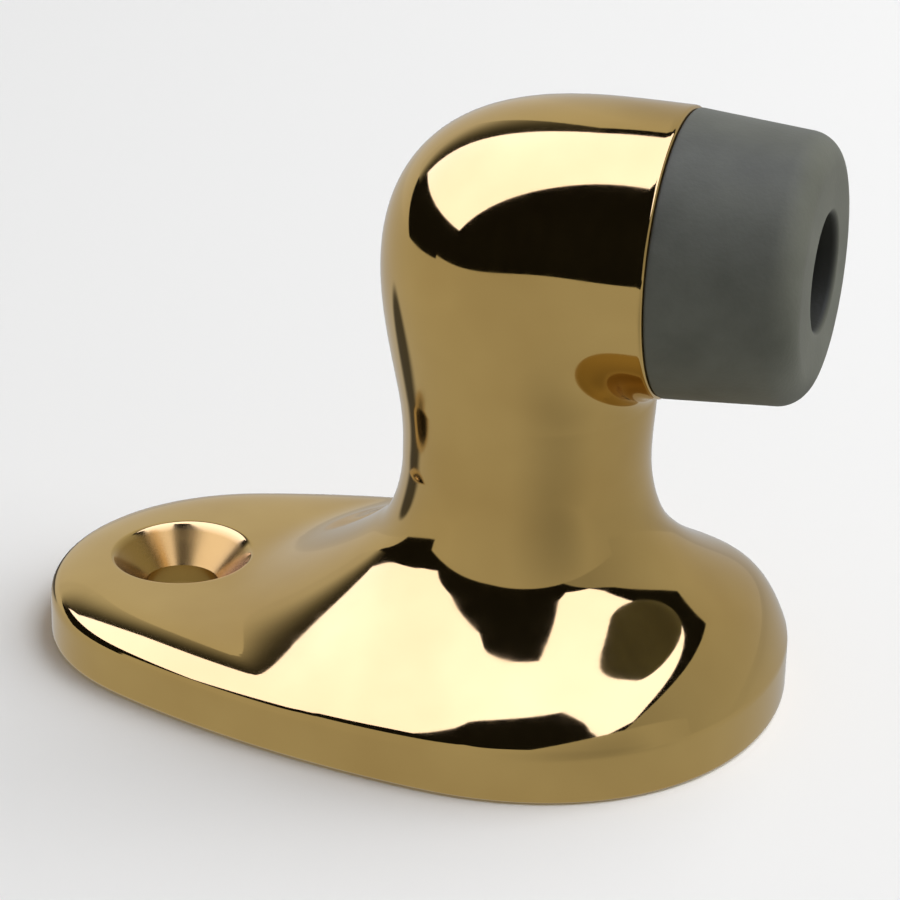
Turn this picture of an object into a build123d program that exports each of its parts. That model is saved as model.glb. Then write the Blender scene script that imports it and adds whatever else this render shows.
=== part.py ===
from build123d import *
import os
from math import atan2, cos, exp, pi, sin, sqrt

# Floor door stop. The neck axis is Z, the floor is Z = 0 and the buffer points along +X.
# Driving dimensions, in millimetres.

# Base outline: two round ends joined by two long side arcs
wide_radius = 24.4
narrow_radius = 18.5
end_spacing = 27.1
side_radius = 101.0
wide_fullness = 0.6
rim_height = 4.6
rim_round = 0.5
floor_edge_round = 0.4

# Top of the base: a plate crowned most at the wide end, a bell round the neck and the bell's fillet
narrow_crown = 1.8
wide_crown = 8.2
crown_edge = 2.7
crown_power = 2.8
bell_rise = 13.6
narrow_bell_reach = 17.0
wide_bell_reach = 10.0
bell_power = 1.65
neck_fillet_width = 2.3
neck_fillet_height = 3.5
blend_power = 2.3
outline_points = 32
rings = 10
rim_crowding = 1.6
neck_crowding = 3.2

# Neck, and the elbow of egg-shaped sections that turn about the inner corner
neck_radius = 11.2
waist_gap = 0.25
neck_back = 11.85
neck_front = 11.45
neck_width = 11.6
back_flare = 0.215
side_flare = 0.13
neck_sections = 2
elbow_sections = 8
elbow_fullness = 3.0
elbow_width = 0.85
elbow_offset = 4.4
inner_corner_round = 1.5
head_length = 13.25
barrel_radius = 12.85
barrel_height = 43.2
joint_edge_round = 0.35

# Floor fixing: one countersunk screw and a stud under the neck
screw_setback = 33.8
screw_hole_radius = 3.5
countersink_radius = 6.7
countersink_angle = 90.0
countersink_height = 6.35
stud_radius = 3.0
stud_depth = 18.0

# Buffer and the machine screw that holds it
buffer_radius = 12.7
buffer_front_radius = 11.7
buffer_length = 12.7
buffer_front_round = 2.8
buffer_back_round = 0.35
pocket_radius = 5.05
pocket_floor = 4.0
pocket_mouth_round = 0.6
thread_radius = 2.0
thread_clearance = 0.05
shank_clearance = 0.25
screw_length = 12.0
screw_tip_room = 2.0
screw_tip_chamfer = 0.5
screw_head_radius = 4.0
screw_head_height = 2.6
screw_head_round = 1.3
recess_span = 4.2
recess_width = 0.9
recess_depth = 1.5
washer_radius = 4.5
washer_thickness = 0.8
washer_clearance = 0.15

# Side arcs touch both end circles from inside: centre at (side_x, -/+ side_y)
wide_gap = side_radius - wide_radius
narrow_gap = side_radius - narrow_radius
side_x = (narrow_gap**2 - wide_gap**2 - end_spacing**2) / (2 * end_spacing)
side_y = sqrt(wide_gap**2 - side_x**2)
wide_angle = atan2(side_y, -side_x)
narrow_touch_x = -end_spacing - narrow_radius * (end_spacing + side_x) / narrow_gap
narrow_touch_y = narrow_radius * side_y / narrow_gap
narrow_angle = atan2(narrow_touch_y, narrow_touch_x)

corner_height = barrel_height - barrel_radius - inner_corner_round
corner_gap = head_length - neck_front
elbow_rise = 2 * barrel_radius + inner_corner_round
joint_plane = Plane((head_length, 0, barrel_height), x_dir=(0, 1, 0), z_dir=(1, 0, 0))
buffer_plane = Plane((head_length, 0, barrel_height), x_dir=(1, 0, 0), z_dir=(0, -1, 0))
buffer_axis = Axis((0, 0, barrel_height), (1, 0, 0))
head_seat = joint_plane.offset(pocket_floor + washer_thickness)
shank_hole_radius = thread_radius + shank_clearance
tapped_depth = screw_length - pocket_floor - washer_thickness + screw_tip_room


def rim_reach(angle):
    # Distance from the neck axis to the base outline in this direction
    turn = abs(angle)
    if turn <= wide_angle:
        return wide_radius + wide_fullness * sin(pi * turn / wide_angle) ** 2
    if turn >= narrow_angle:
        centre_x, centre_y, radius = -end_spacing, 0.0, narrow_radius
    else:
        centre_x, centre_y, radius = side_x, -side_y, side_radius
    along = cos(turn) * centre_x + sin(turn) * centre_y
    return along + sqrt(along**2 - centre_x**2 - centre_y**2 + radius**2)


def top_height(angle, from_neck, from_rim):
    # Smooth union of the crowned plate with the bell and its fillet, which rise towards the neck
    wide_share = (1 + cos(angle)) / 2
    bell_reach = narrow_bell_reach + (wide_bell_reach - narrow_bell_reach) * wide_share
    bell_reach = min(bell_reach, from_neck + from_rim)
    bell = bell_rise * (1 - min(1, from_neck / bell_reach) ** (1 / bell_power))
    fillet_share = max(0, 1 - from_neck / neck_fillet_width)
    bell += neck_fillet_height * (1 - sqrt(1 - fillet_share**2))
    crown = narrow_crown + (wide_crown - narrow_crown) * wide_share**crown_power
    plate = crown * (1 - exp(-max(0, from_rim) / crown_edge))
    return rim_height + (bell**blend_power + plate**blend_power) ** (1 / blend_power)


def base_ring(step):
    # Closed curve round the base, step 0 on the rim and the last step where the fillet meets the neck
    spread = (1 - (step / rings) ** rim_crowding) ** neck_crowding
    points = []
    for i in range(outline_points):
        angle = 2 * pi * (i / outline_points)
        reach = rim_reach(angle if angle <= pi else angle - 2 * pi)
        from_neck = spread * (reach - neck_radius)
        radius = neck_radius + from_neck
        height = top_height(angle, from_neck, reach - radius)
        points.append((radius * cos(angle), radius * sin(angle), height))
    return Wire([Edge.make_spline(points, periodic=True)])


def ease(part_way, start, end, start_slope=0.0, end_slope=0.0):
    # Cubic from start to end whose slopes at both ends are given per whole step
    smooth = part_way**2 * (3 - 2 * part_way)
    lift = start_slope * part_way * (1 - part_way) ** 2 - end_slope * part_way**2 * (1 - part_way)
    return start + (end - start) * smooth + lift


def egg_section(plane, front, rear, width):
    # Two half ellipses of the same width, the front one towards the plane's own x
    with BuildSketch(plane) as section:
        with BuildLine():
            EllipticalCenterArc((0, 0), front, width, -90, arc_size=180)
            EllipticalCenterArc((0, 0), rear, width, 90, arc_size=180)
        make_face()
    return section.sketch


def neck_section(part_way):
    # Level section between the waist and the inner corner
    front = ease(part_way, neck_radius, neck_front)
    rear = ease(part_way, neck_radius, neck_back, 0, back_flare * neck_length)
    width = ease(part_way, neck_radius, neck_width, 0, side_flare * neck_length)
    return egg_section(Plane.XY.offset(waist_height + neck_length * part_way), front, rear, width)


def elbow_section(part_way):
    # Section in a plane that turns about the inner corner, from level to upright
    turn = part_way * pi / 2
    swell = sin(2 * turn) ** 2
    level_share = cos(turn) * (1 - back_flare * sin(turn)) / (head_length + neck_back)
    reach = (level_share**elbow_fullness + (sin(turn) / elbow_rise) ** elbow_fullness) ** (-1 / elbow_fullness)
    middle = ease(part_way, head_length, barrel_radius + inner_corner_round) + elbow_offset * swell
    front = middle - ease(part_way, corner_gap, inner_corner_round)
    width = ease(part_way, neck_width, barrel_radius, side_flare * head_length * pi / 2) + elbow_width * swell
    centre = (head_length - middle * cos(turn), 0, corner_height + middle * sin(turn))
    plane = Plane(centre, x_dir=(cos(turn), 0, -sin(turn)), z_dir=(sin(turn), 0, cos(turn)))
    return egg_section(plane, front, reach - middle, width)


# The waist is a little above the highest point of the bell's fillet
waist_height = top_height(0, 0, wide_radius - neck_radius) + waist_gap
neck_length = corner_height - waist_height

# Base plate and bell
neck_ring = Wire([Edge.make_circle(neck_radius, Plane.XY.offset(waist_height))])
rim_ring = base_ring(0)
base_top = Solid.make_loft([base_ring(step) for step in range(rings + 1)] + [neck_ring])
with BuildPart() as base:
    add(base_top)
    with BuildSketch(Plane.XY.offset(rim_height)):
        make_face(rim_ring.edges())
    extrude(amount=-rim_height)
    rim_edges = base.edges().filter_by(lambda e: e.bounding_box().size.X > 2 * wide_radius)
    fillet(rim_edges.group_by(Axis.Z)[-1], rim_round)
    fillet(base.edges().group_by(Axis.Z)[0], floor_edge_round)

# Neck and elbow in one loft, from the waist to the joint with the buffer
with BuildPart() as head:
    neck = [neck_section(i / neck_sections) for i in range(neck_sections)]
    loft(neck + [elbow_section(i / elbow_sections) for i in range(elbow_sections + 1)])
    fillet(head.faces().filter_by(Axis.X).sort_by(Axis.X)[-1].edges(), joint_edge_round)

# One brass casting with its holes
with BuildPart() as casting:
    add(head.part)
    add(base.part)
    with Locations(joint_plane):
        Hole(thread_radius + thread_clearance, tapped_depth)
    with Locations(Location((-screw_setback, 0, countersink_height))):
        CounterSinkHole(screw_hole_radius, countersink_radius, counter_sink_angle=countersink_angle)
    with Locations(Plane.XY.rotated((180, 0, 0))):
        Hole(stud_radius, stud_depth)

# Tapered rubber buffer with a stepped hole for its screw
with BuildPart() as buffer:
    with BuildSketch(buffer_plane):
        with BuildLine():
            Polyline(
                (0, shank_hole_radius),
                (0, buffer_radius),
                (buffer_length, buffer_front_radius),
                (buffer_length, pocket_radius),
                (pocket_floor, pocket_radius),
                (pocket_floor, shank_hole_radius),
                close=True,
            )
        make_face()
    revolve(axis=buffer_axis)
    fillet(buffer.edges().group_by(Axis.X)[-1].sort_by(SortBy.RADIUS)[-1], buffer_front_round)
    fillet(buffer.edges().group_by(Axis.X)[-1].sort_by(SortBy.RADIUS)[0], pocket_mouth_round)
    fillet(buffer.edges().group_by(Axis.X)[0].sort_by(SortBy.RADIUS)[-1], buffer_back_round)

# Plain steel washer on the floor of the buffer's hole
with BuildPart() as washer:
    with BuildSketch(joint_plane.offset(pocket_floor)):
        Circle(washer_radius)
        Circle(thread_radius + washer_clearance, mode=Mode.SUBTRACT)
    extrude(amount=washer_thickness)

# Pan-head machine screw with a cross recess, its head on the washer
with BuildPart() as screw:
    with BuildSketch(head_seat):
        Circle(screw_head_radius)
    extrude(amount=screw_head_height)
    fillet(screw.edges().group_by(Axis.X)[-1], screw_head_round)
    with BuildSketch(head_seat):
        Circle(thread_radius)
    extrude(amount=-screw_length)
    chamfer(screw.edges().group_by(Axis.X)[0], screw_tip_chamfer)
    with BuildSketch(head_seat.offset(screw_head_height)):
        Rectangle(recess_span, recess_width)
        Rectangle(recess_width, recess_span)
    extrude(amount=-recess_depth, mode=Mode.SUBTRACT)

casting.part.label = "brass_casting"
buffer.part.label = "rubber_buffer"
washer.part.label = "buffer_washer"
screw.part.label = "buffer_screw"

os.makedirs("parts", exist_ok=True)
export_step(casting.part, "parts/brass_casting.step")
export_step(buffer.part, "parts/rubber_buffer.step")
export_step(washer.part, "parts/buffer_washer.step")
export_step(screw.part, "parts/buffer_screw.step")
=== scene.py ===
from math import atan2, cos, pi, radians, sin, sqrt

import bpy
import numpy as np
from mathutils import Matrix, Vector


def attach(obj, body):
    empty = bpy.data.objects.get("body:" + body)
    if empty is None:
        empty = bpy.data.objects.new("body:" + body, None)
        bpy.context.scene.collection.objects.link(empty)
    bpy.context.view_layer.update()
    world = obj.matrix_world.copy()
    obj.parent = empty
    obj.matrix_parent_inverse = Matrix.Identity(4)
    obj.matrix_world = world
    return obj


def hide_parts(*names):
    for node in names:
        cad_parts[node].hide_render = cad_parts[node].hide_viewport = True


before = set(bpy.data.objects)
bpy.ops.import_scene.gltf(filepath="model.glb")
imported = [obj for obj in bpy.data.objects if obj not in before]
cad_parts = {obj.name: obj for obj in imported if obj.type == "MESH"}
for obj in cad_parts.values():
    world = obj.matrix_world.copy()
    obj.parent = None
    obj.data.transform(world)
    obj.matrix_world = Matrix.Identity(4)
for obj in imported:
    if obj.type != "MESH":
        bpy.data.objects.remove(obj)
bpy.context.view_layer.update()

scene = bpy.context.scene
scene.view_settings.view_transform = "Standard"
print("frame loaded:", sorted(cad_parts))

mm = 0.001  # shapes are worked out in millimetres and put into Blender in metres


def addPiece(name, verts, faces, sharpAngle):
    mesh = bpy.data.meshes.new(name)
    mesh.from_pydata((verts * mm).tolist(), [], faces)
    mesh.polygons.foreach_set("use_smooth", np.ones(len(mesh.polygons), bool))
    mesh.set_sharp_from_angle(angle=radians(sharpAngle))
    mesh.validate()
    mesh.update()
    piece = bpy.data.objects.new(name, mesh)
    scene.collection.objects.link(piece)
    return piece


def gridQuads(rowCount, columnCount):
    # quads between neighbouring rows of a grid that closes on itself along its columns
    row = np.arange(rowCount - 1)[:, None] * columnCount
    here = np.arange(columnCount)[None, :]
    after = (here + 1) % columnCount
    return np.stack([row + here, row + after, row + columnCount + after, row + columnCount + here], -1)


def share(count):
    # equal steps from the first one after 0 up to 1, as a column
    return np.linspace(0, 1, count + 1)[1:, None]


def roundOff(t, start, corner, end):
    # quadratic curve from start to end that touches both lines through the corner
    return (1 - t) ** 2 * start + 2 * t * (1 - t) * corner + t**2 * end


def ease(t, start, end, startSlope=0.0, endSlope=0.0):
    # cubic from start to end with the given slopes
    return (start + (end - start) * t**2 * (3 - 2 * t)
            + startSlope * t * (1 - t) ** 2 - endSlope * t**2 * (1 - t))


# Brass casting: one closed surface of rows, from the stud hole under the neck out to the rim, over the base,
# up the neck and round the elbow to the tapped hole in the joint face.
casting = {
    # outline of the base and its rim
    "wideRadius": 24.4, "narrowRadius": 18.5, "endSpacing": 27.1, "sideRadius": 101.0, "wideFullness": 0.6,
    "rimHeight": 4.6, "rimRound": 2.0, "floorRound": 0.4, "outlineSoften": 2.0,
    # crowned plate, bell and the bell's fillet
    "narrowCrown": 1.8, "wideCrown": 8.2, "crownEdge": 2.7, "crownPower": 2.8, "bellRise": 13.6,
    "narrowBellReach": 17.0, "wideBellReach": 10.0, "bellPower": 1.65, "filletWidth": 2.3,
    "filletHeight": 3.5, "blendPower": 2.3,
    # neck, elbow and joint face
    "neckRadius": 11.2, "waistHeight": 23.23, "neckBack": 11.85, "neckFront": 11.45, "neckWidth": 11.6,
    "backFlare": 0.215, "sideFlare": 0.13, "elbowFullness": 3.0, "elbowWidth": 0.85, "elbowOffset": 4.4,
    "cornerRound": 1.5, "headLength": 13.25, "barrelRadius": 12.85, "barrelHeight": 43.2, "jointRound": 0.35,
    # holes; the softened edge of the countersink runs down its cone by sinkFall times sinkEdge
    "tapRadius": 2.05, "tapDepth": 9.2, "studRadius": 3.0, "studDepth": 18.0, "screwX": -33.8,
    "screwRadius": 3.5, "sinkRadius": 6.7, "sinkHeight": 6.35, "sinkEdge": 0.25, "sinkFall": 0.7,
    # mesh: rows in order, then the patch round the screw hole
    "columns": 272, "studRows": 7, "middleRows": 5, "underEvery": 5, "footRows": 5, "wallRows": 6,
    "rimRows": 8, "slopeStep": 0.02, "topRows": 66, "rimCrowding": 1.6, "neckCrowding": 3.2, "neckRows": 14,
    "elbowRows": 96, "jointRows": 5, "faceRows": 6, "tapRows": 4, "patchHalf": 12, "patchReach": 8.7,
    "plateRings": 12, "edgeSteps": 4, "edgeRings": 5, "coneRings": 8, "boreRings": 4, "flatRings": 7,
    "sharpAngle": 30,
}
c = casting
theta = 2 * pi * np.arange(c["columns"]) / c["columns"]


def rimReach():
    # distance from the neck axis to the outline: wide end, long side arcs and narrow end, softened a little
    turn = np.abs((theta + pi) % (2 * pi) - pi)
    wideGap, narrowGap = c["sideRadius"] - c["wideRadius"], c["sideRadius"] - c["narrowRadius"]
    sideX = (narrowGap**2 - wideGap**2 - c["endSpacing"] ** 2) / (2 * c["endSpacing"])
    sideY = sqrt(wideGap**2 - sideX**2)
    wideAngle = atan2(sideY, -sideX)
    touchX = -c["endSpacing"] - c["narrowRadius"] * (c["endSpacing"] + sideX) / narrowGap
    narrowAngle = atan2(c["narrowRadius"] * sideY / narrowGap, touchX)

    def arc(x, y, radius):
        along = np.cos(turn) * x + np.sin(turn) * y
        return along + np.sqrt(np.maximum(along**2 - x**2 - y**2 + radius**2, 0))

    wide = c["wideRadius"] + c["wideFullness"] * np.sin(pi * turn / wideAngle) ** 2
    side, narrow = arc(sideX, -sideY, c["sideRadius"]), arc(-c["endSpacing"], 0, c["narrowRadius"])
    outline = np.where(turn <= wideAngle, wide, np.where(turn >= narrowAngle, narrow, side))
    waves = np.fft.rfft(outline)
    waves *= np.exp(-((np.arange(len(waves)) * radians(c["outlineSoften"])) ** 2) / 2)
    return np.fft.irfft(waves, c["columns"])


reach = rimReach()


def topHeight(angle, fromNeck, fromRim):
    # bell with a fillet at the neck, joined softly to a plate whose crown is highest at the wide end
    wideShare = (1 + np.cos(angle)) / 2
    bellReach = c["narrowBellReach"] + (c["wideBellReach"] - c["narrowBellReach"]) * wideShare
    bellReach = np.minimum(bellReach, fromNeck + fromRim)
    bell = c["bellRise"] * (1 - np.clip(fromNeck / bellReach, 0, 1) ** (1 / c["bellPower"]))
    filletShare = np.clip(1 - fromNeck / c["filletWidth"], 0, 1)
    bell = bell + c["filletHeight"] * (1 - np.sqrt(1 - filletShare**2))
    crown = c["narrowCrown"] + (c["wideCrown"] - c["narrowCrown"]) * wideShare ** c["crownPower"]
    plate = crown * (1 - np.exp(-np.maximum(fromRim, 0) / c["crownEdge"]))
    power = c["blendPower"]
    return c["rimHeight"] + (bell**power + plate**power) ** (1 / power)


def topAt(x, y):
    # height of the top over a point of the plan
    angle = np.arctan2(y, x) % (2 * pi)
    rim = np.interp(angle, np.append(theta, 2 * pi), np.append(reach, reach[0]))
    radius = np.hypot(x, y)
    return topHeight(angle, radius - c["neckRadius"], rim - radius)


def headRows():
    # egg-shaped rows: level from the waist to the elbow's inner corner, then in planes that turn about it.
    # u = middle - cos(theta) * (middle - inner) in front and middle - cos(theta) * (outer - middle) behind,
    # point = corner + u * (-cos(turn), 0, sin(turn))
    radius, jointX = c["neckRadius"], c["headLength"] - c["jointRound"]
    cornerZ = c["barrelHeight"] - c["barrelRadius"] - c["cornerRound"]
    length, away, wide = cornerZ - c["waistHeight"], np.cos(theta), np.sin(theta)
    t = np.linspace(0, 1, c["neckRows"] + 1)[:-1, None]
    front = ease(t, radius, c["neckFront"])
    rear = ease(t, radius, c["neckBack"], 0, c["backFlare"] * length)
    width = ease(t, radius, c["neckWidth"], 0, c["sideFlare"] * length)
    height = c["waistHeight"] + length * t + 0 * away
    neck = np.stack([np.where(away > 0, front, rear) * away, width * wide, height], -1)
    t = np.linspace(0, 1, c["elbowRows"] + 1)[:, None]
    turn = t * pi / 2
    swell, power, rise = np.sin(2 * turn) ** 2, c["elbowFullness"], 2 * c["barrelRadius"] + c["cornerRound"]
    levelShare = np.cos(turn) * (1 - c["backFlare"] * np.sin(turn)) / (jointX + c["neckBack"])
    outer = (levelShare**power + (np.sin(turn) / rise) ** power) ** (-1 / power)
    inner = ease(t, jointX - c["neckFront"], c["cornerRound"])
    middle = ease(t, jointX, c["barrelRadius"] + c["cornerRound"]) + c["elbowOffset"] * swell
    slope = c["sideFlare"] * c["headLength"] * pi / 2
    width = ease(t, c["neckWidth"], c["barrelRadius"], slope) + c["elbowWidth"] * swell
    u = middle - away * np.where(away > 0, middle - inner, outer - middle)
    elbow = np.stack([jointX - u * np.cos(turn), width * wide, cornerZ + u * np.sin(turn)], -1)
    return np.concatenate([neck, elbow])


def ringRows(radius, height):
    # rows of points round the neck axis; radius and height are (rows, columns) or spread over them
    radius, height = np.broadcast_arrays(np.asarray(radius, float), np.asarray(height, float))
    radius = np.broadcast_to(radius, (radius.shape[0], c["columns"]))
    height = np.broadcast_to(height, radius.shape)
    return np.stack([radius * np.cos(theta), radius * np.sin(theta), height], -1)


def castingRows():
    # all rows in order, the patch's first row on the underside and on the top, and its number of rows
    stud, neckRadius, floorRound = c["studRadius"], c["neckRadius"], c["floorRound"]
    span, step = reach - neckRadius, c["slopeStep"]
    # rim: wall, then a curve tangent to the wall and to the start of the crowned top
    slope = np.arctan2(topHeight(theta, span - step, step) - c["rimHeight"], step)
    length = c["rimRound"] * np.tan((pi / 2 - slope) / 2)
    inset = length * np.cos(slope)
    wallTop, crownStart = c["rimHeight"] - length, topHeight(theta, span - inset, inset)
    fromNeck = (span - inset) * (1 - share(c["topRows"]) ** c["rimCrowding"]) ** c["neckCrowding"]
    top = ringRows(neckRadius + fromNeck, topHeight(theta, fromNeck, span - fromNeck))
    fromHole = np.abs(neckRadius + fromNeck[:, c["columns"] // 2] + c["screwX"])
    inPatch = np.nonzero(fromHole < c["patchReach"])[0]
    low, high = inPatch.min(), inPatch.max()
    # underside: the top's rows seen in plan, thinned out away from the screw hole
    number = np.arange(c["topRows"])
    thinned = (number % c["underEvery"] == 0) & ((span - fromNeck).min(1) > 2 * floorRound)
    kept = thinned | (number >= low) & (number <= high)
    bore = ringRows(stud, c["studDepth"] * (1 - np.append(0, share(c["studRows"])))[:, None])
    middle = ringRows(stud + (neckRadius - stud) * share(c["middleRows"])[:-1], 0.0)
    under = ringRows((neckRadius + fromNeck)[kept][::-1], 0.0)
    bend = np.linspace(0, pi / 2, c["footRows"] + 1)[:, None]
    foot = ringRows(reach - floorRound + floorRound * np.sin(bend), floorRound * (1 - np.cos(bend)))
    t = share(c["wallRows"])
    wall = ringRows(reach + 0 * t, floorRound + (wallTop - floorRound) * t)
    t = share(c["rimRows"])
    rim = ringRows(reach - t**2 * inset, roundOff(t, wallTop, c["rimHeight"], crownStart))
    body = headRows()
    # joint face with its rounded edge and tapped hole
    jointRound, tap = c["jointRound"], c["tapRadius"]
    centre = np.array((c["headLength"] - jointRound, 0, c["barrelHeight"]))
    forward = np.array((1.0, 0, 0))
    size = np.linalg.norm(body[-1] - centre, axis=1)[None, :, None]
    way = ((body[-1] - centre) / size[0])[None]
    bend = share(c["jointRows"])[..., None] * pi / 2
    edge = centre + way * (size - jointRound * (1 - np.cos(bend))) + forward * jointRound * np.sin(bend)
    t = share(c["faceRows"])[..., None]
    face = centre + way * (size - jointRound + (tap - size + jointRound) * t) + forward * jointRound
    t = share(c["tapRows"])[..., None]
    tapped = centre + way * tap + forward * (jointRound - c["tapDepth"] * t)
    parts = [bore, middle, under, foot, wall, rim, top, body, edge, face, tapped]
    starts = np.cumsum([0] + [len(part) for part in parts])
    underStart, topStart = starts[2], starts[6]
    underFirst = underStart + np.count_nonzero(kept[high + 1:])
    return np.concatenate(parts), underFirst, topStart + low, high - low


def buildCasting():
    grid, underFirst, topFirst, patchRows = castingRows()
    rowCount, columns = grid.shape[:2]
    quads = gridQuads(rowCount, columns)
    left, right = columns // 2 - c["patchHalf"], columns // 2 + c["patchHalf"]
    quads[topFirst:topFirst + patchRows, left:right] = -1
    quads[underFirst:underFirst + patchRows, left:right] = -1
    # border of the cells left out round the screw hole, the same in plan on the top and the underside
    across, along = np.arange(left, right), np.arange(patchRows)
    loopRow = np.concatenate([0 * across, along, 0 * across + patchRows, along[::-1] + 1])
    loopColumn = np.concatenate([across, 0 * along + right, across[::-1] + 1, 0 * along + left])
    topLoop = (topFirst + loopRow) * columns + loopColumn
    underLoop = (underFirst + patchRows - loopRow) * columns + loopColumn
    border = grid.reshape(-1, 3)[topLoop, :2]
    angle = np.arctan2(border[:, 1], border[:, 0] - c["screwX"])
    around = np.stack([np.cos(angle), np.sin(angle)], -1)
    hole, screw, sinkEdge = np.array((c["screwX"], 0)), c["screwRadius"], c["sinkEdge"]

    def topRing(plan):
        return np.concatenate([plan, topAt(plan[..., 0], plan[..., 1])[..., None]], -1)

    # countersink edge where the cone meets the crowned top, found by a few steps
    edge = np.full(angle.shape, c["sinkRadius"])
    for _ in range(c["edgeSteps"]):
        edge = c["sinkRadius"] + topRing(hole + edge[:, None] * around)[:, 2] - c["sinkHeight"]
    edgeHeight = c["sinkHeight"] + edge - c["sinkRadius"]
    mouth = hole + (edge + sinkEdge)[:, None] * around
    plate = topRing(border + share(c["plateRings"])[..., None] * (mouth - border))
    # rounded edge, cone and bore as radius and height of each ring
    t, fall = share(c["edgeRings"]), c["sinkFall"] * sinkEdge
    turnRadius = roundOff(t, edge + sinkEdge, edge, edge - fall)
    turnHeight = roundOff(t, plate[-1, :, 2], edgeHeight, edgeHeight - fall)
    coneFoot = c["sinkHeight"] - (c["sinkRadius"] - screw)
    t = share(c["coneRings"])
    coneRadius, coneHeight = (1 - t) * turnRadius[-1] + t * screw, (1 - t) * turnHeight[-1] + t * coneFoot
    t = share(c["boreRings"])
    boreRadius, boreHeight = screw + 0 * edge + 0 * t, coneFoot * (1 - t) + 0 * edge
    radius = np.concatenate([turnRadius, coneRadius, boreRadius])
    height = np.concatenate([turnHeight, coneHeight, boreHeight])
    sink = np.concatenate([hole + radius[..., None] * around, height[..., None]], -1)
    foot = hole + screw * around
    flat = foot + share(c["flatRings"])[:-1, :, None] * (border - foot)
    flat = np.concatenate([flat, 0 * flat[..., :1]], -1)
    rings = np.concatenate([plate, sink, flat])
    ids = rowCount * columns + np.arange(rings.shape[0] * rings.shape[1]).reshape(rings.shape[:2])
    ids = np.concatenate([topLoop[None], ids, underLoop[None]])
    after = np.roll(ids, -1, 1)
    cells = np.stack([ids[:-1], after[:-1], after[1:], ids[1:]], -1).reshape(-1, 4)
    # closed ends of the stud hole and the tapped hole
    verts = np.concatenate([grid.reshape(-1, 3), rings.reshape(-1, 3), grid[:1].mean(1), grid[-1:].mean(1)])
    here, pole = np.arange(columns), len(verts) - 2
    ahead, lastRow = np.roll(here, -1), (rowCount - 1) * columns
    caps = np.concatenate([
        np.stack([ahead, here, 0 * here + pole], -1),
        np.stack([lastRow + here, lastRow + ahead, 0 * here + pole + 1], -1),
    ])
    faces = np.concatenate([quads[quads[..., 0] >= 0], cells]).tolist() + caps.tolist()
    return verts, faces


castingVerts, castingFaces = buildCasting()
brassBody = addPiece("brassBody", castingVerts, castingFaces, casting["sharpAngle"])
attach(brassBody, "root")
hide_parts("brass_casting")
print("casting:", len(castingFaces), "faces")


# Rubber buffer: a profile turned about the buffer axis
buffer = {
    "start": 13.25, "axisHeight": 43.2, "length": 12.7, "backRadius": 12.7, "frontRadius": 11.7,
    "backRound": 0.35, "frontRound": 2.8, "mouthRound": 0.6, "pocketRadius": 5.05, "pocketFloor": 4.0,
    "shankRadius": 2.25,
    # steps along the profile in order, and round the axis
    "backSteps": 5, "backArc": 6, "sideSteps": 24, "frontArc": 20, "faceSteps": 6, "mouthArc": 10,
    "pocketSteps": 8, "floorSteps": 4, "shankSteps": 4, "around": 160, "sharpAngle": 30,
}


def cornerRound(before, corner, after, radius, steps):
    # arc of the given radius that touches both lines through a corner, as points
    before, corner, after = (np.array(point, float) for point in (before, corner, after))
    inWay, outWay = before - corner, after - corner
    inWay, outWay = inWay / np.linalg.norm(inWay), outWay / np.linalg.norm(outWay)
    half = np.arccos(np.clip(inWay @ outWay, -1, 1)) / 2
    middle = (inWay + outWay) / np.linalg.norm(inWay + outWay)
    centre = corner + middle * radius / np.sin(half)
    first = corner + inWay * radius / np.tan(half) - centre
    last = corner + outWay * radius / np.tan(half) - centre
    turn = np.arccos(np.clip(first @ last / radius**2, -1, 1))
    t = np.linspace(0, 1, steps + 1)[:, None]
    return centre + (np.sin((1 - t) * turn) * first + np.sin(t * turn) * last) / np.sin(turn)


def buildBuffer():
    # profile points (along, radius) from the back face round the outside and down the hole, then turned
    b = buffer
    back, front = (0, b["backRadius"]), (b["length"], b["frontRadius"])
    mouth, floorCorner = (b["length"], b["pocketRadius"]), (b["pocketFloor"], b["pocketRadius"])
    shankTop, shankFoot = (b["pocketFloor"], b["shankRadius"]), (0, b["shankRadius"])

    def line(start, end, steps):
        return np.array(start) + np.linspace(0, 1, steps + 1)[:, None] * (np.array(end) - np.array(start))

    backArc = cornerRound(shankFoot, back, front, b["backRound"], b["backArc"])
    frontArc = cornerRound(back, front, mouth, b["frontRound"], b["frontArc"])
    mouthArc = cornerRound(front, mouth, floorCorner, b["mouthRound"], b["mouthArc"])
    profile = np.concatenate([
        line(shankFoot, backArc[0], b["backSteps"])[:-1], backArc,
        line(backArc[-1], frontArc[0], b["sideSteps"])[1:-1], frontArc,
        line(frontArc[-1], mouthArc[0], b["faceSteps"])[1:-1], mouthArc,
        line(mouthArc[-1], floorCorner, b["pocketSteps"])[1:],
        line(floorCorner, shankTop, b["floorSteps"])[1:],
        line(shankTop, shankFoot, b["shankSteps"])[1:-1],
    ])
    turn = 2 * pi * np.arange(b["around"]) / b["around"]
    along, radius = profile[:, :1], profile[:, 1:]
    verts = np.stack([
        b["start"] + along + 0 * turn, radius * np.sin(turn), b["axisHeight"] + radius * np.cos(turn),
    ], -1)
    quads = gridQuads(len(profile) + 1, b["around"]) % (len(profile) * b["around"])
    return verts.reshape(-1, 3), quads.reshape(-1, 4)[:, ::-1].tolist()


bufferVerts, bufferFaces = buildBuffer()
rubberBody = addPiece("rubberBody", bufferVerts, bufferFaces, buffer["sharpAngle"])
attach(rubberBody, "root")
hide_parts("rubber_buffer")
print("buffer:", len(bufferFaces), "faces")


# Materials. The small functions below add nodes and give back the socket to link on.
def newMaterial(name):
    material = bpy.data.materials.new(name)
    material.use_nodes = True
    nodes, links = material.node_tree.nodes, material.node_tree.links
    return material, nodes, links, nodes["Principled BSDF"]


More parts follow.
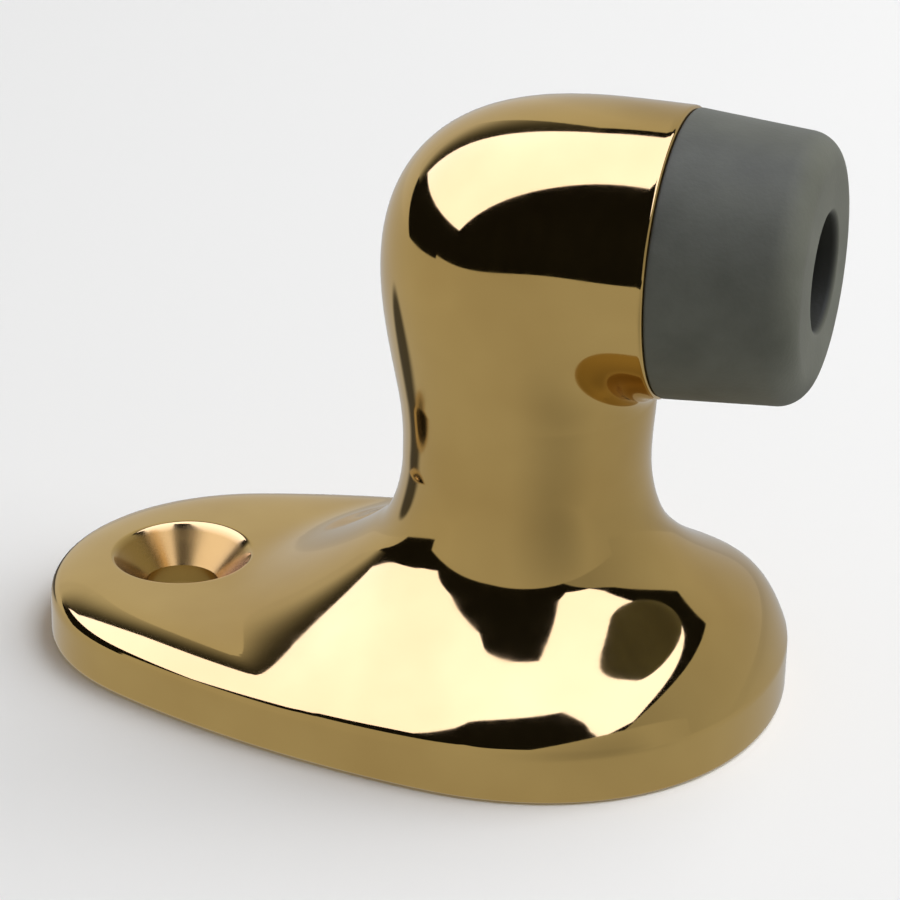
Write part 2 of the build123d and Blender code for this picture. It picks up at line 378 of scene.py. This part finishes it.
def noiseAt(nodes, links, scale, detail, stretch=(1, 1, 1)):
    place, mapping = nodes.new("ShaderNodeTexCoord"), nodes.new("ShaderNodeMapping")
    mapping.inputs["Scale"].default_value = stretch
    noise = nodes.new("ShaderNodeTexNoise")
    noise.inputs["Scale"].default_value = scale
    noise.inputs["Detail"].default_value = detail
    links.new(place.outputs["Object"], mapping.inputs["Vector"])
    links.new(mapping.outputs["Vector"], noise.inputs["Vector"])
    return noise.outputs["Fac"]


def rampOf(nodes, links, source, positions, lowColour, highColour):
    ramp = nodes.new("ShaderNodeValToRGB")
    for element, position, colour in zip(ramp.color_ramp.elements, positions, (lowColour, highColour)):
        element.position, element.color = position, (*colour, 1)
    links.new(source, ramp.inputs["Fac"])
    return ramp.outputs["Color"]


def mapped(nodes, links, source, fromRange, toRange, interpolation="LINEAR"):
    # the source's range carried to another range, and held inside it
    node = nodes.new("ShaderNodeMapRange")
    node.interpolation_type = interpolation
    node.inputs["From Min"].default_value, node.inputs["From Max"].default_value = fromRange
    node.inputs["To Min"].default_value, node.inputs["To Max"].default_value = toRange
    links.new(source, node.inputs["Value"])
    return node.outputs["Result"]


def worked(nodes, links, operation, *values):
    # one Math node, whose values are numbers or sockets
    node = nodes.new("ShaderNodeMath")
    node.operation = operation
    for socket, value in zip(node.inputs, values):
        if isinstance(value, float):
            socket.default_value = value
        else:
            links.new(value, socket)
    return node.outputs["Value"]


def distanceFrom(nodes, links, location, rotation, scale, kind):
    # length of the Object coordinates after a Mapping node of the given kind
    place, mapping = nodes.new("ShaderNodeTexCoord"), nodes.new("ShaderNodeMapping")
    mapping.vector_type = kind
    mapping.inputs["Location"].default_value = location
    mapping.inputs["Rotation"].default_value = rotation
    mapping.inputs["Scale"].default_value = scale
    distance = nodes.new("ShaderNodeVectorMath")
    distance.operation = "LENGTH"
    links.new(place.outputs["Object"], mapping.inputs["Vector"])
    links.new(mapping.outputs["Vector"], distance.inputs[0])
    return distance.outputs["Value"]


def nearTo(nodes, links, shift, across, edge):
    # 1 inside the first radius from a point or an axis and 0 outside the second, in millimetres
    location = [mm * value for value in shift]
    distance = distanceFrom(nodes, links, location, (0, 0, 0), across, "POINT")
    return mapped(nodes, links, distance, [mm * value for value in edge], (1.0, 0.0))


def tintedBy(nodes, links, colour, amount, tint):
    # colour times tint, by an amount from 0 to 1; the Mix node's colour sockets go by number
    mix = nodes.new("ShaderNodeMix")
    mix.data_type, mix.blend_type = "RGBA", "MULTIPLY"
    factor, colourIn, tintIn, colourOut = mix.inputs[0], mix.inputs[6], mix.inputs[7], mix.outputs[2]
    tintIn.default_value = (*tint, 1)
    links.new(amount, factor)
    links.new(colour, colourIn)
    return colourOut


def bumped(nodes, links, source, strength, depth):
    bump = nodes.new("ShaderNodeBump")
    bump.inputs["Strength"].default_value = strength
    bump.inputs["Distance"].default_value = depth
    links.new(source, bump.inputs["Height"])
    return bump.outputs["Normal"]


brass = {
    "deep": (0.56, 0.372, 0.124), "bright": (0.66, 0.46, 0.163), "patchScale": 60.0, "patchDetail": 3,
    "patchRange": (0.3, 0.7), "rough": (0.045, 0.075), "scratchScale": 900.0, "scratchDetail": 4,
    "scratchStretch": (1, 1, 0.12), "scratchRange": (0.35, 0.75), "scratchBump": 0.006, "bumpDepth": 0.0002,
    # the last entry darkens the countersink's colour near its centre
    "turnedEdge": (6.0, 6.5), "turnedRough": 0.17, "sinkDarkening": (0.62, 0.56, 0.42),
}


def brassMaterial():
    material, nodes, links, shader = newMaterial("polishedBrass")
    patches = noiseAt(nodes, links, brass["patchScale"], brass["patchDetail"])
    colour = rampOf(nodes, links, patches, brass["patchRange"], brass["deep"], brass["bright"])
    scratches = noiseAt(nodes, links, brass["scratchScale"], brass["scratchDetail"], brass["scratchStretch"])
    rough = mapped(nodes, links, scratches, brass["scratchRange"], brass["rough"])
    # the countersink is rougher near its centre, where it is turned and not polished; its colour is also
    # darkened there
    turned = nearTo(nodes, links, (-c["screwX"], 0, -c["sinkHeight"]), (1, 1, 1), brass["turnedEdge"])
    rough = worked(nodes, links, "MULTIPLY_ADD", turned, brass["turnedRough"], rough)
    links.new(tintedBy(nodes, links, colour, turned, brass["sinkDarkening"]), shader.inputs["Base Color"])
    links.new(rough, shader.inputs["Roughness"])
    normal = bumped(nodes, links, scratches, brass["scratchBump"], brass["bumpDepth"])
    links.new(normal, shader.inputs["Normal"])
    shader.inputs["Metallic"].default_value = 1.0
    return material


rubber = {
    "dark": (0.087, 0.09, 0.07), "pale": (0.124, 0.128, 0.102), "mottleScale": 150.0, "mottleDetail": 5,
    "mottleRange": (0.3, 0.72), "rough": (0.5, 0.66), "grainScale": 2600, "grainDetail": 2, "grainBump": 0.12,
    # the last two entries darken the wall of the screw hole: painted shade in the hole
    "bumpDepth": 0.0002, "specular": 0.2, "holeShadeEdge": (5.1, 5.5), "holeShadeTint": (0.3, 0.3, 0.3),
}


def rubberMaterial():
    material, nodes, links, shader = newMaterial("greyRubber")
    mottle = noiseAt(nodes, links, rubber["mottleScale"], rubber["mottleDetail"])
    colour = rampOf(nodes, links, mottle, rubber["mottleRange"], rubber["dark"], rubber["pale"])
    # painted shade: the wall of the hole for the screw is darkened as if in shade, darker than the outside
    holeShade = nearTo(nodes, links, (0, 0, -buffer["axisHeight"]), (0, 1, 1), rubber["holeShadeEdge"])
    links.new(tintedBy(nodes, links, colour, holeShade, rubber["holeShadeTint"]), shader.inputs["Base Color"])
    links.new(mapped(nodes, links, mottle, (0.0, 1.0), rubber["rough"]), shader.inputs["Roughness"])
    grain = noiseAt(nodes, links, rubber["grainScale"], rubber["grainDetail"])
    links.new(bumped(nodes, links, grain, rubber["grainBump"], rubber["bumpDepth"]), shader.inputs["Normal"])
    shader.inputs["Specular IOR Level"].default_value = rubber["specular"]
    return material


steel = {
    "dull": (0.42, 0.42, 0.41), "bright": (0.6, 0.6, 0.59), "cloudScale": 420, "cloudDetail": 4,
    "cloudRange": (0.3, 0.7), "rough": (0.22, 0.42),
}


def steelMaterial():
    material, nodes, links, shader = newMaterial("platedSteel")
    cloud = noiseAt(nodes, links, steel["cloudScale"], steel["cloudDetail"])
    colour = rampOf(nodes, links, cloud, steel["cloudRange"], steel["dull"], steel["bright"])
    links.new(colour, shader.inputs["Base Color"])
    links.new(mapped(nodes, links, cloud, (0.0, 1.0), steel["rough"]), shader.inputs["Roughness"])
    shader.inputs["Metallic"].default_value = 1.0
    return material


def dress(piece, material):
    piece.data.materials.clear()
    piece.data.materials.append(material)


dress(brassBody, brassMaterial())
dress(rubberBody, rubberMaterial())
platedSteel = steelMaterial()
dress(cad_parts["buffer_screw"], platedSteel)
dress(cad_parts["buffer_washer"], platedSteel)
print("materials done")


# Camera at the photograph's viewing angle
camera = {
    "azimuth": 17.65, "elevation": 24.39, "roll": 1.344, "distance": 0.3046,
    "target": (-0.00729, 0.0, 0.02119), "lens": 134.1, "sensor": 36, "clipStart": 0.01,
}


def cameraAxes():
    a, e, r = (radians(camera[key]) for key in ("azimuth", "elevation", "roll"))
    back = Vector((sin(a) * cos(e), -cos(a) * cos(e), sin(e)))
    right = Vector((cos(a), sin(a), 0))
    up = back.cross(right)
    return cos(r) * right + sin(r) * up, cos(r) * up - sin(r) * right, back


def turnedTo(place, *axes):
    # matrix of an object at a place, whose own axes point along the three given ones
    return Matrix.Translation(place) @ Matrix(axes).transposed().to_4x4()


right, up, back = cameraAxes()
cameraData = bpy.data.cameras.new("photoCamera")
cameraData.lens, cameraData.sensor_width = camera["lens"], camera["sensor"]
cameraData.clip_start = camera["clipStart"]
photoCamera = bpy.data.objects.new("photoCamera", cameraData)
scene.collection.objects.link(photoCamera)
photoCamera.matrix_world = turnedTo(Vector(camera["target"]) + camera["distance"] * back, right, up, back)
scene.camera = photoCamera
print("camera placed")


# Stage: pale floor and a soft lamp. The grey tent with its dark opening and bright panel shows only in the
# polish. Places are (ahead towards the camera, across to the right) and then height, in metres.
stage = {
    "floorSize": 3.0, "floorHeight": -0.0001, "floorColour": (0.86, 0.86, 0.86), "floorRough": 0.9,
    "worldFill": 0.2, "lampPower": 21.0, "lampSize": (1.5, 1.2), "lampPlace": (-0.12, 0.75, 0.9),
    # grey tent and the lip in front of the base; its grey falls ahead and across
    "tent": 1.8, "tentFloor": -0.00005, "lipAhead": 0.052, "lipAcross": (-0.25, 0.12), "lipHeight": 0.038,
    "grey": 0.51, "greyAhead": 0.09, "greyAcross": 0.06, "greySpread": 0.1,
    # soft shades in the tent's grey: place, turn, half sizes, core and the share of grey left in it
    "shades": [
        ((0.052, 0.022, 0.013), 0.0, (0.04, 0.04, 0.04), 0.0, 0.72),
        ((-0.036, -0.06, 0.0), -18.4, (0.045, 0.014, 1.0), 0.45, 0.15),
    ],
    # dark opening
    "dark": 0.008, "ceiling": 0.25, "far": 0.7, "floorEdge": 0.26, "darkRight": 0.21, "leftFoot": -0.25,
    "leftHead": -0.67, "darkBack": [(-0.23, -0.12), (-0.13, -0.02), (-0.13, 0.21)],
    # bright panel below the ceiling
    "bright": 2.3, "daylight": (0.96, 1.0, 1.75), "panelDrop": 0.003,
    "panel": [(0.058, 0.0), (0.12, 0.04), (0.19, 0.08), (0.26, 0.135), (0.2, 0.2), (-0.1, 0.135),
              (-0.1, -0.022), (-0.374, -0.46), (0.235, -0.63)],
    # behind the panel the dark fades out to grey
    "fadeDrop": 0.0015, "fadeWay": (-0.848, 0.53), "fadeReach": (0.083, 0.263), "fadeLevels": (0.04, 0.62),
    "fade": [(-0.13, -0.02), (-0.09, -0.02), (-0.362, -0.46), (-0.51, -0.699), (-0.95, -0.699),
             (-0.4, -0.16)],
}
front = Vector((sin(radians(camera["azimuth"])), -cos(radians(camera["azimuth"])), 0))
side = Vector((-front.y, front.x, 0))


def placed(ahead, across, height):
    return front * ahead + side * across + Vector((0, 0, height))


def flatSheet(corners, height):
    return [(*corner, height) for corner in corners]


def uprightSheet(start, end, low, high):
    return [(*start, low), (*end, low), (*end, high), (*start, high)]


def addSheet(name, corners, material, onlyInPolish):
    mesh = bpy.data.meshes.new(name)
    mesh.from_pydata([tuple(corner) for corner in corners], [], [tuple(range(len(corners)))])
    sheet = bpy.data.objects.new(name, mesh)
    scene.collection.objects.link(sheet)
    mesh.materials.append(material)
    if onlyInPolish:
        sheet.visible_camera = sheet.visible_diffuse = False
        sheet.visible_shadow = sheet.visible_transmission = False


def floorMaterial():
    material, *_, shader = newMaterial("paleFloor")
    shader.inputs["Base Color"].default_value = (*stage["floorColour"], 1)
    shader.inputs["Roughness"].default_value = stage["floorRough"]
    shader.inputs["Specular IOR Level"].default_value = 0.0
    return material


def glowMaterial(name, colour, level):
    material = bpy.data.materials.new(name)
    material.use_nodes = True
    nodes, links = material.node_tree.nodes, material.node_tree.links
    nodes.clear()
    glow, output = nodes.new("ShaderNodeEmission"), nodes.new("ShaderNodeOutputMaterial")
    glow.inputs["Color"].default_value = (*colour, 1)
    glow.inputs["Strength"].default_value = level
    links.new(glow.outputs["Emission"], output.inputs["Surface"])
    return material


def alongWay(nodes, links, way):
    # distance along a direction
    place, along = nodes.new("ShaderNodeTexCoord"), nodes.new("ShaderNodeVectorMath")
    along.operation = "DOT_PRODUCT"
    along.inputs[1].default_value = way
    links.new(place.outputs["Object"], along.inputs[0])
    return along.outputs["Value"]


def fadeMaterial():
    # dark along the panel's back edge and grey further behind it
    material = glowMaterial("fadeCloth", (1, 1, 1), 1.0)
    nodes, links = material.node_tree.nodes, material.node_tree.links
    ahead, across = stage["fadeWay"]
    along = alongWay(nodes, links, ahead * front + across * side)
    level = mapped(nodes, links, along, stage["fadeReach"], stage["fadeLevels"], "SMOOTHSTEP")
    links.new(level, nodes["Emission"].inputs["Strength"])
    return material


def greyMaterial():
    # level = grey - ahead fall * (ahead / tent) - across fall * (across / spread, held between -1 and 1)
    material = glowMaterial("greyCloth", (1, 1, 1), 1.0)
    nodes, links = material.node_tree.nodes, material.node_tree.links
    level = stage["grey"]
    falls = ((front, stage["tent"], stage["greyAhead"]), (side, stage["greySpread"], stage["greyAcross"]))
    for way, width, fall in falls:
        change = mapped(nodes, links, alongWay(nodes, links, way), (-width, width), (fall, -fall))
        level = worked(nodes, links, "ADD", change, level)
    # softly darker inside each shade, an ellipsoid
    for place, turn, halves, core, left in stage["shades"]:
        rotation = (0, 0, radians(turn))
        distance = distanceFrom(nodes, links, placed(*place), rotation, halves, "TEXTURE")
        shade = mapped(nodes, links, distance, (core, 1.0), (left, 1.0), "SMOOTHSTEP")
        level = worked(nodes, links, "MULTIPLY", level, shade)
    links.new(level, nodes["Emission"].inputs["Strength"])
    return material


half = stage["floorSize"] / 2
floorCorners = [(-half, -half), (half, -half), (half, half), (-half, half)]
addSheet("paleFloor", flatSheet(floorCorners, stage["floorHeight"]), floorMaterial(), False)

tent, ground, lipAhead = stage["tent"], stage["tentFloor"], stage["lipAhead"]
lipLeft, lipRight = stage["lipAcross"]
backLeft, backRight, frontRight, frontLeft = (-tent, -tent), (-tent, tent), (tent, tent), (tent, -tent)
tentCorners = [backLeft, backRight, frontRight, frontLeft]
greySheets = {
    "greyFloor": flatSheet(tentCorners, ground),
    "greyBack": uprightSheet(backLeft, backRight, ground, tent),
    "greyFront": uprightSheet(frontLeft, frontRight, ground, tent),
    "greyLeft": uprightSheet(backLeft, frontLeft, ground, tent),
    "greyRight": uprightSheet(backRight, frontRight, ground, tent),
    "greyTop": flatSheet(tentCorners, tent),
    "greyLip": uprightSheet((lipAhead, lipLeft), (lipAhead, lipRight), ground, stage["lipHeight"]),
}
far, high, floorEdge = stage["far"], stage["ceiling"], stage["floorEdge"]
leftFoot, leftHead, darkRight = stage["leftFoot"], stage["leftHead"], stage["darkRight"]
darkSheets = {
    "darkFloor": flatSheet([(floorEdge, -far), (floorEdge, darkRight), (far, darkRight), (far, -far)], 0.0),
    "darkFront": uprightSheet((far, -far), (far, darkRight), 0.0, high),
    "darkLeft": [(far, -far, 0.0), (leftFoot, -far, 0.0), (leftHead, -far, high), (far, -far, high)],
    "darkTop": flatSheet([(far, -far), (leftHead, -far), *stage["darkBack"], (far, darkRight)], high),
}
brightSheets = {"brightPanel": flatSheet(stage["panel"], high - stage["panelDrop"])}
fadeSheets = {"fadeTop": flatSheet(stage["fade"], high - stage["fadeDrop"])}
cloths = (
    (greySheets, greyMaterial()),
    (darkSheets, glowMaterial("darkCloth", (1, 1, 1), stage["dark"])),
    (brightSheets, glowMaterial("brightCloth", stage["daylight"], stage["bright"])),
    (fadeSheets, fadeMaterial()),
)
for sheets, cloth in cloths:
    for name, corners in sheets.items():
        addSheet(name, [placed(*corner) for corner in corners], cloth, True)

lampData = bpy.data.lights.new("softLamp", "AREA")
lampData.shape, lampData.size, lampData.size_y = "RECTANGLE", *stage["lampSize"]
lampData.energy = stage["lampPower"]
softLamp = bpy.data.objects.new("softLamp", lampData)
scene.collection.objects.link(softLamp)
softLamp.visible_glossy = False
lampPlace = placed(*stage["lampPlace"])
lampBack = lampPlace.normalized()
lampRight = (side - lampBack * side.dot(lampBack)).normalized()
softLamp.matrix_world = turnedTo(lampPlace, lampRight, lampBack.cross(lampRight), lampBack)

# white for the camera and in reflections, a low fill for everything else
world = bpy.data.worlds.new("studio")
scene.world = world
world.use_nodes = True
nodes, links = world.node_tree.nodes, world.node_tree.links
background, path = nodes["Background"], nodes.new("ShaderNodeLightPath")
seen = worked(nodes, links, "MAXIMUM", path.outputs["Is Camera Ray"], path.outputs["Is Glossy Ray"])
seen = worked(nodes, links, "MAXIMUM", seen, path.outputs["Is Transmission Ray"])
strength = worked(nodes, links, "MULTIPLY_ADD", seen, 1 - stage["worldFill"], stage["worldFill"])
background.inputs["Color"].default_value = (1, 1, 1, 1)
links.new(strength, background.inputs["Strength"])
print("stage set")
